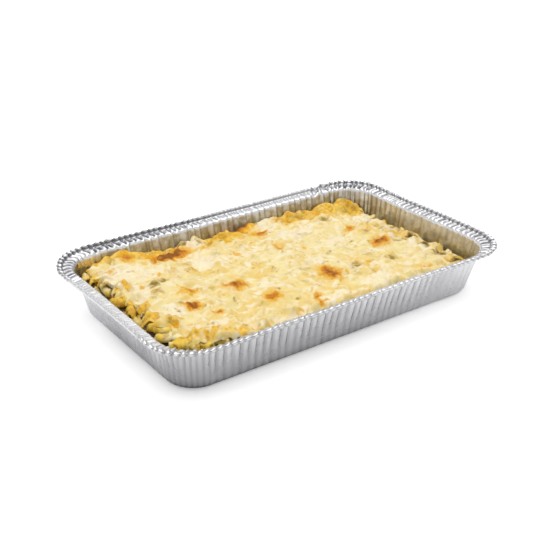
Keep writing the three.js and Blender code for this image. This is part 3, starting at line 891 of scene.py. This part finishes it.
# browned spots: x, y, length, width, turn in degrees, and how dark
spots = [
    (-167, 117, 13, 9, 60, 0.85), (-110, 104, 28, 11, 8, 1.3), (22, 132, 20, 10, 25, 1.1),
    (35, 103, 12, 9, 30, 0.75), (-88, -22, 15, 11, -20, 0.9), (-163, -43, 11, 9, 0, 1),
    (-145, -72, 7, 6, 0, 0.85), (-67, -74, 12, 10, 0, 0.85), (-147, -8, 12, 8, 0, 0.6),
    (32, -62, 11, 17, 0, 1.05), (-22, -105, 15, 5, 55, 0.7), (-28, -123, 10, 5, 20, 0.7),
    (150, 42, 12, 7, 50, 0.75), (152, -22, 16, 11, 10, 0.9), (-53, -57, 5, 5, 0, 0.5),
    (147, -118, 12, 8, -20, 0.45), (82, -95, 8, 5, 25, 0.6), (22, 40, 9, 7, 20, 0.6),
    (93, -66, 8, 5, 20, 0.45), (-60, 100, 7, 5, 0, 0.4),
]

# olive brown flecks, likewise; the darkest ones by the right wall are painted shade for the gaps beside the
# foil
flecksAndGapShades = [
    (-80, 128, 9, 5, 10, 0.9), (-55, 120, 8, 5, 30, 0.8), (138, 85, 8, 6, 0, 0.8), (75, -63, 8, 7, 0, 0.95),
    (133, -68, 8, 7, 30, 0.95), (177, -28, 9, 6, 0, 0.8), (192, -30, 10, 4, 55, 0.8),
    (187, 15, 11, 5, 55, 0.7), (158, 14, 8, 5, 30, 0.6), (110, -45, 8, 5, 30, 0.7),
    (-175, 28, 7, 8, 0, 0.9), (-162, 30, 5, 5, 0, 0.8), (-182, 7, 6, 7, 0, 0.7), (-107, 47, 8, 7, 0, 0.4),
    (-27, 12, 9, 8, 0, 0.3), (10, -32, 7, 8, 0, 0.6), (-172, -33, 7, 5, 0, 0.6), (40, 12, 6, 4, 40, 0.5),
    (78, 65, 9, 7, 0, 0.45), (-122, -17, 8, 5, 0, 0.45), (-90, -83, 9, 5, 0, 0.4), (-58, 73, 7, 7, 0, 0.4),
    (-105, 70, 10, 7, 0, 0.4), (193, -88, 9, 6, 30, 0.8), (-15, -33, 7, 4, 0, 0.4),
    (208, -60, 8, 5, 40, 0.7), (22, 38, 7, 5, 20, 0.5), (105, 117, 26, 8, 0, 0.5),
    (200, 108, 18, 9, 0, 0.5), (212, 125, 12, 10, 0, 0.5), (-20, 112, 22, 8, 10, 0.35),
    (205, -122, 10, 6, 0, 0.9), (65, 42, 8, 4, 50, 0.4), (212, -24, 11, 8, 60, 1.5),
    (213, 24, 10, 7, 80, 1.5), (220, 63, 8, 5, 0, 1), (206, -53, 7, 6, 0, 1.4), (208, -85, 7, 5, 0, 1.3),
    (212, -112, 9, 6, 60, 1.4), (218, 97, 7, 5, 0, 0.9), (-190, 118, 8, 6, 0, 0.4),
    (-205, -110, 7, 5, 0, 0.45), (-220, -30, 7, 9, -30, 0.6), (-213, -75, 7, 6, 0, 0.6),
    (172, -92, 7, 4, 30, 0.5), (-65, -120, 9, 4, 0, 0.35), (58, -84, 8, 4, 0, 0.35),
]

# golden stretches: x, y, half length, half width, turn, strength, and how far they stand up
goldenStretches = [
    (-152, 132, 74, 23, -3, 1, 0), (-124, 109, 42, 17, -14, 1, 0), (-8, 122, 44, 26, 8, 1, 0),
    (20, 133, 32, 15, 8, 1, 0), (148, 120, 86, 25, 0, 1, 0), (203, 112, 30, 32, 0, 1, 0),
    (-233, 5, 13, 115, 0, 0.8, 0), (-232, 105, 14, 34, 0, 0.9, 0), (228, -10, 12, 90, 0, 0.35, 0),
    (-207, 43, 9, 15, -30, 0.9, 1.8), (-214, -18, 10, 20, -40, 0.95, 1.6),
    (-205, -68, 10, 15, -20, 0.95, 1.8), (-157, -125, 28, 8, 4, 0.8, 0), (-205, -112, 22, 11, 0, 0.95, 1.4),
    (-175, -116, 12, 9, 0, 0.9, 1.4), (-225, -50, 9, 14, 0, 0.9, 1), (-178, 62, 12, 16, 0, 0.3, 0.6),
    (-108, 48, 8, 9, 0, 0.6, 0.7), (-28, 12, 12, 10, 0, 0.5, 0.6), (168, 20, 15, 30, -30, 0.3, 0.5),
    (-148, -8, 16, 11, 0, 0.55, 0.7), (205, -108, 20, 12, 30, 0.5, 0.6), (198, -10, 17, 24, 0, 0.5, 0.6),
    (22, -10, 14, 26, 10, 0.2, 0.5), (60, 30, 30, 12, 0, 0.15, 0.3), (-182, 8, 8, 10, 0, 0.5, 0.6),
]

# paler stretches, likewise
paleStretches = [
    (-80, 64, 22, 26, 0, 0.9, 0.5), (-185, 72, 28, 20, 0, 0.9, 0.6), (82, 70, 34, 16, 0, 0.6, 0.5),
    (205, 22, 12, 14, 0, 0.6, 0.8), (200, 62, 16, 22, 0, 0.6, 0.5), (-5, -118, 26, 12, 10, 0.7, 0.5),
    (45, -25, 24, 9, 0, 0.5, 0.3), (-195, 20, 12, 22, 0, 0.8, 0.8), (-190, -50, 12, 20, 0, 0.8, 0.8),
    (75, -108, 30, 12, 0, 0.5, 0.4), (-60, -45, 26, 14, 0, 0.35, 0.3), (-215, 85, 14, 20, 0, 1, 1),
    (190, -60, 14, 20, 0, 0.6, 0.6), (60, 125, 15, 22, 0, 0.9, 0.4), (-66, 125, 13, 22, 0, 0.9, 0.4),
    (100, 20, 30, 14, 0, 0.3, 0.3), (-150, 60, 18, 12, 0, 0.5, 0.4), (-165, -95, 18, 10, 0, 0.5, 0.4),
]


def shifted(x, y, large, fine, seed):
    # a place moved by two kinds of unevenness, each given by its strength and size
    moved = []
    for place, first in ((x, seed), (y, seed + 2)):
        place = place + large[0] * unevenness(x, y, large[1], first)
        moved.append(place + fine[0] * unevenness(x, y, fine[1], first + 1))
    return moved


def inSpot(x, y, spotX, spotY, long, wide, turn):
    # the place along and across a turned spot, as shares of its length and width
    c, s = np.cos(np.radians(turn)), np.sin(np.radians(turn))
    return ((x - spotX) * c + (y - spotY) * s) / long, ((y - spotY) * c - (x - spotX) * s) / wide


def spotsAt(x, y, listed, strew, darkness, seed):
    # The darkest of the listed spots and of small strewn ones. Each is a bell over the distance inside it,
    # and its outline is ragged because the place is shifted.
    rx, ry = shifted(x, y, (1.5, 10), (0.8, 4), seed)
    draw = np.random.default_rng(seed)
    ranges = ((-215, 225), (-130, 130), (1.8, 5.5), (1.5, 3.4), (-20, 70), (0.1, darkness))
    small = [tuple(draw.uniform(*span) for span in ranges) for _ in range(strew)]
    darkest = np.zeros_like(x)
    for *spot, dark in listed + small:
        along, across = inSpot(rx, ry, *spot)
        darkest = np.maximum(darkest, dark * np.exp(-(along ** 2 + across ** 2) ** 0.9))
    return darkest


def browning(x, y):
    # how browned the cheese is
    return spotsAt(x, y, spots, 130, 0.5, 31)


def oliveAndGapShade(x, y):
    # how olive brown it is; the darkest marks are painted shade in pits and in the gaps by the foil
    return spotsAt(x, y, flecksAndGapShades, 230, 0.68, 37)


def stretchesAt(x, y, stretches, seed):
    # The strongest of the stretches, each a soft edged ellipse with a ragged outline, and how far the
    # surface stands up in them.
    rx, ry = shifted(x, y, (3, 22), (1.6, 8), seed)
    strongest, risen = np.zeros_like(x), np.zeros_like(x)
    for *ellipse, strength, rise in stretches:
        within = ramp(np.hypot(*inSpot(rx, ry, *ellipse)), 1.2, 0.55)
        strongest = np.maximum(strongest, strength * within)
        risen = np.maximum(risen, rise * within)
    return strongest, risen


def goldenAt(x, y):
    # how golden the cheese is, and how far that stands up
    return stretchesAt(x, y, goldenStretches, 41)


def paleAt(x, y):
    # how pale it is, likewise
    return stretchesAt(x, y, paleStretches, 45)


def layShreds():
    # melted shreds: short curved ridges on a map. Each is a bell across its arc, and the highest counts.
    draw = np.random.default_rng(15)
    ridges = np.zeros_like(planX)
    for _ in range(shreds["count"]):
        x, y = draw.uniform(mapX[0], mapX[-1]), draw.uniform(mapY[0], mapY[-1])
        turn = draw.uniform(0, np.pi)
        length, width, height = (draw.uniform(*shreds[key]) for key in ("length", "width", "height"))
        along = np.linspace(-0.5, 0.5, 11) * length
        aside = 0.5 * draw.uniform(-1, 1) * shreds["bend"] * along ** 2
        px, py = turned(x, y, along, aside, turn)
        near = windowAt(x, y, length / 2 + 4)
        away = np.hypot(planX[near][..., None] - px, planY[near][..., None] - py).min(-1)
        ridges[near] = np.maximum(ridges[near], height * bell(away, width))
    return ridges


ridges = layShreds()
lumpiness = blurred(pile, 2.0) - blurred(pile, 12)
filmUnder = np.maximum(blurred(pile, 1.0), blurred(pile, 2.2))


def cheeseTop(x, y, inward):
    # the meal's top with the lumps of what lies beneath, melted shreds and blisters; near its rim it
    # comes down over the elbows in a film
    top, burnt = mealTop(x, y), browning(x, y)
    lumps = cheese["relief"] * sampled(lumpiness, x, y) + cheese["swell"] * unevenness(x, y, 17, 55)
    pits = -cheese["pits"] * ramp(unevenness(x, y, 9, 53), 1.2, 2.4)
    pits = pits - cheese["fleckPits"] * ramp(oliveAndGapShade(x, y), 0.45, 1.1)
    blisters = cheese["blister"] * ramp(burnt, 0.25, 0.9)
    blisters = blisters + cheese["bubbling"] * unevenness(x, y, 4.5, 54) * ramp(burnt, 0.1, 0.5)
    risen = goldenAt(x, y)[1] + paleAt(x, y)[1]
    full = top + lumps + sampled(ridges, x, y) + pits + blisters + risen - cheese["edge"]
    lowest = top - cheese["besideFoil"] + 0.6 * lumps
    over = np.maximum(np.minimum(sampled(filmUnder, x, y), top + 1.5), lowest)
    roundness = np.sqrt(np.clip(1 - (1 - np.minimum(inward / cheese["lip"], 1)) ** 2, 0, 1))
    film = over + cheese["edge"] * roundness - cheese["rimDrop"] * ramp(inward, 4, 0)
    return mix(film, np.maximum(full, over + 0.9), ramp(inward, 0, cheese["drape"]))


def cheeseMaterial():
    # creamy and buttery in wide patches with milky streaks; over that the golden stretches, painted shade in
    # the hollows between shreds, the olive flecks with painted shade in the darkest and in the gaps by the
    # foil, and browned spots that go from gold over amber to brown
    material, shader = newMaterial("melted cheese")
    tree = material.node_tree
    wide, streaks = addMottle(tree, 40, 2.2, 0.8), addMottle(tree, 12, 1.4, 0.6)
    close, pink, baked = addMottle(tree, 5, 0.7), addMottle(tree, 23, 1.0), addMottle(tree, 22, 1.0)
    whitish = blendColours(tree, pink["Mask"], cheese["milk"], cheese["blush"])
    gold = blendColours(tree, baked["Mask"], cheese["honey"], cheese["gold"])
    gold = layColours(tree, gold, [(streaks["Mask"], 0.45, 0.85, 0.65, cheese["butter"]),
                                   (close["Mask"], 0.5, 0.9, 0.6, cheese["toast"])])
    milky = calculate(tree, "MULTIPLY_ADD", streaks["Mask"], 0.5, given(tree, "pale"))
    uneven = calculate(tree, "MULTIPLY_ADD", close["Mask"], 0.35, 0.85)
    golden = calculate(tree, "MULTIPLY", given(tree, "golden"), uneven)
    uneven = calculate(tree, "MULTIPLY_ADD", close["Mask"], 0.3, 0.85)
    dark = calculate(tree, "MULTIPLY", given(tree, "browned"), uneven)
    hollow, olive = remap(tree, given(tree, "hollow"), 0, 1, 0, 0.5), given(tree, "olive")
    colour = blendColours(tree, wide["Mask"], cheese["cream"], cheese["butter"])
    colour = layColours(tree, colour, [(milky, 0.28, 0.9, 1, whitish), (golden, 0.05, 0.8, 1, gold)])
    # painted shade in the hollows between shreds
    colour = blendColours(tree, hollow, colour, cheese["hollow"], "MULTIPLY")
    # olive flecks, with nearly black painted shade in the darkest of them
    colour = layColours(tree, colour, [(olive, 0.05, 0.75, 1, cheese["olive"]),
                                       (olive, 0.75, 1.2, 1, cheese["pitShade"]),
                                       (dark, 0.05, 0.36, 0.85, cheese["gold"]),
                                       (dark, 0.25, 0.64, 1, cheese["amber"]),
                                       (dark, 0.55, 0.95, 0.85, cheese["brown"])])
    bump = addBump(tree, streaks["Grain"], 0.3, 0.5)
    setInputs(tree, shader, {
        "Base Color": colour, "Roughness": remap(tree, wide["Mask"], 0, 1, *cheese["roughness"]),
        "Specular IOR Level": cheese["shine"], "Subsurface Weight": 0.15,
        "Subsurface Radius": (0.004, 0.0025, 0.001), "Subsurface Scale": 1.0,
        "Normal": addBump(tree, close["Grain"], 0.25, 0.25, bump)})
    return material


def meltedCheese():
    # Rings from the rim in to the middle line. The rim is a rounded rectangle moved in by the bays and by a
    # ragged waver. Under the sheet the rings go back out in a few wide steps.
    walk = walkRound(*cheese["stations"])
    x, y = besideFoil(walk, meal["level"])
    x, y = besideFoil(walk, mealTop(x, y) - 7)
    ragged = sum(strength * roundTheLoop(walk["share"], fewest, most, seed)
                 for strength, fewest, most, seed in cheese["ragged"])
    even, margin = cheese["even"], bareMargin(x, y)
    heaped = bell(x - even["x"], even["reachX"]) * bell(y - even["y"], even["reachY"])
    moved = np.maximum(margin + ragged * ramp(margin, 0, 10) * (1 - 0.8 * heaped), 0.8)
    rimX, rimY = x - walk["nx"] * moved, y - walk["ny"] * moved
    across = halfWidth - tray["rimWidth"]
    middle = walk["sx"] * spine

    def rowAt(inward, down=0.0):
        # so far in from the rim, and so far below the sheet's top
        px, py = mix(rimX, middle, inward / across), rimY * (1 - inward / across)
        return np.stack([px, py, cheeseTop(px, py, inward) - down], -1)

    rows = [rowAt(inward, down) for inward, down in ((across, 4.5), *cheese["under"])]
    rows += [rowAt(inward) for inward in (*cheese["inwards"], *np.linspace(6.6, across, cheese["rings"]))]
    rows = np.array(rows)
    px, py = rows[..., 0], rows[..., 1]
    # painted shade where the cheese lies below its blurred shreds
    hollow = ramp(sampled(blurred(ridges, 3.5) - ridges, px, py), 0.05, 0.5)
    pale = 0.6 * sampled(ridges, px, py) + paleAt(px, py)[0]
    values = {"browned": browning(px, py), "olive": oliveAndGapShade(px, py), "pale": pale, "hollow": hollow,
              "golden": goldenAt(px, py)[0]}
    closedShell("melted_cheese_sheet", rows, cheeseMaterial(), "melted_cheese", values)


meltedCheese()
print("cheese made")


# floor, light and camera

studio = dict(
    azimuth=-35.8, elevation=26.0, distance=1.303, lens=59.7, sensor=36,
    target=(0.0329, 0.0502, 0.0),
    backdrop=0.92, sky=0.72, zenith=2.2,        # brightness of the room: low down, halfway and overhead
    skyAt=(0.26, 0.42), zenithAt=(0.72, 0.97),  # how steeply up the direction goes where they come in
    gloom=0.12,                                 # and of its dark corner, low down at the right
    gloomSides=(-1.05, 0.36),                   # slopes of the corner's two sides
    behindGlow=0.3, behindAt=(0.6, 1.1),        # how much brighter it is behind the tray
    skirting=0.55, skirtingAt=(0.14, 0.06),     # and there dimmer by this along the horizon
    sun=0.2, sunAngle=60.0, sunFrom=(0.62, 0.12, 1.0),
    floorReach=14,
    floor=(0.93, 0.93, 0.935), floorSeen=(0.97, 0.97, 0.97), floorGlow=0.34,    # it looks whiter than it is
)


def makeFloor():
    # a pale matt square
    far = studio["floorReach"]
    mesh = bpy.data.meshes.new("floor")
    mesh.from_pydata([(-far, -far, 0), (far, -far, 0), (far, far, 0), (-far, far, 0)], [], [(0, 1, 2, 3)])
    material, shader = newMaterial("pale floor")
    tree = material.node_tree
    seen = addNode(tree, "LightPath").outputs["Is Camera Ray"]
    setInputs(tree, shader, {
        "Base Color": blendColours(tree, seen, studio["floor"], studio["floorSeen"]),
        "Roughness": 0.9, "Specular IOR Level": 0.1, "Emission Color": (1, 1, 1, 1),
        "Emission Strength": calculate(tree, "MULTIPLY", seen, studio["floorGlow"])})
    mesh.materials.append(material)
    linked("floor", mesh)


def makeRoom():
    # Brightness by direction. Low down it is the backdrop's, with a dark corner between two sides, and a
    # glow behind the tray that is dimmed along the horizon. Further up it becomes the sky's and then the
    # zenith's. The camera itself sees plain white.
    world = bpy.data.worlds.new("soft studio")
    bpy.context.scene.world = world
    world.use_nodes = True
    tree = world.node_tree
    x, y, up = addNode(tree, "SeparateXYZ", {0: addNode(tree, "TexCoord").outputs["Generated"]}).outputs
    slopeX, slopeY = studio["gloomSides"]
    aside = remap(tree, calculate(tree, "MULTIPLY_ADD", y, slopeX, x), -0.05, 0.05)
    ahead = remap(tree, calculate(tree, "MULTIPLY_ADD", x, slopeY, y), -0.1, 0.1)
    corner = calculate(tree, "MULTIPLY", aside, ahead)
    low = remap(tree, corner, 0, 1, studio["backdrop"], studio["gloom"])
    behind = remap(tree, calculate(tree, "ADD", x, y), *studio["behindAt"])
    strip = calculate(tree, "MULTIPLY", behind, remap(tree, up, *studio["skirtingAt"]))
    low = calculate(tree, "MULTIPLY_ADD", behind, studio["behindGlow"], low)
    low = calculate(tree, "MULTIPLY", low, remap(tree, strip, 0, 1, 1, studio["skirting"]))
    height = remap(tree, up, *studio["skyAt"])
    low = calculate(tree, "MULTIPLY", low, calculate(tree, "SUBTRACT", 1.0, height))
    sky = calculate(tree, "MULTIPLY_ADD", height, studio["sky"], low)
    above = remap(tree, up, *studio["zenithAt"], 0, studio["zenith"] - studio["sky"])
    seen = addNode(tree, "LightPath").outputs["Is Camera Ray"]
    white = calculate(tree, "MULTIPLY", seen, studio["zenith"])
    strength = calculate(tree, "MAXIMUM", calculate(tree, "ADD", sky, above), white)
    setInputs(tree, tree.nodes["Background"], {"Strength": strength, "Color": (1, 1, 1, 1)})


def makeSun():
    # weak and very broad, shining from its place towards the tray
    light = bpy.data.lights.new("soft key", "SUN")
    light.energy = studio["sun"]
    light.angle = np.radians(studio["sunAngle"])
    linked("soft key", light).rotation_euler = Vector(studio["sunFrom"]).to_track_quat("Z", "Y").to_euler()


def makeCamera():
    # at its distance from the target, in the direction that azimuth and elevation give
    lens = bpy.data.cameras.new("camera")
    lens.lens = studio["lens"]
    lens.sensor_width = studio["sensor"]
    lens.clip_end = 100
    camera = linked("camera", lens)
    a, e = np.radians([studio["azimuth"], studio["elevation"]])
    back = Vector((np.sin(a) * np.cos(e), -np.cos(a) * np.cos(e), np.sin(e)))
    camera.location = Vector(studio["target"]) + back * studio["distance"]
    camera.rotation_euler = back.to_track_quat("Z", "Y").to_euler()
    bpy.context.scene.camera = camera
    bpy.context.scene.view_settings.view_transform = "Standard"


makeFloor()
makeRoom()
makeSun()
makeCamera()
print("studio made")
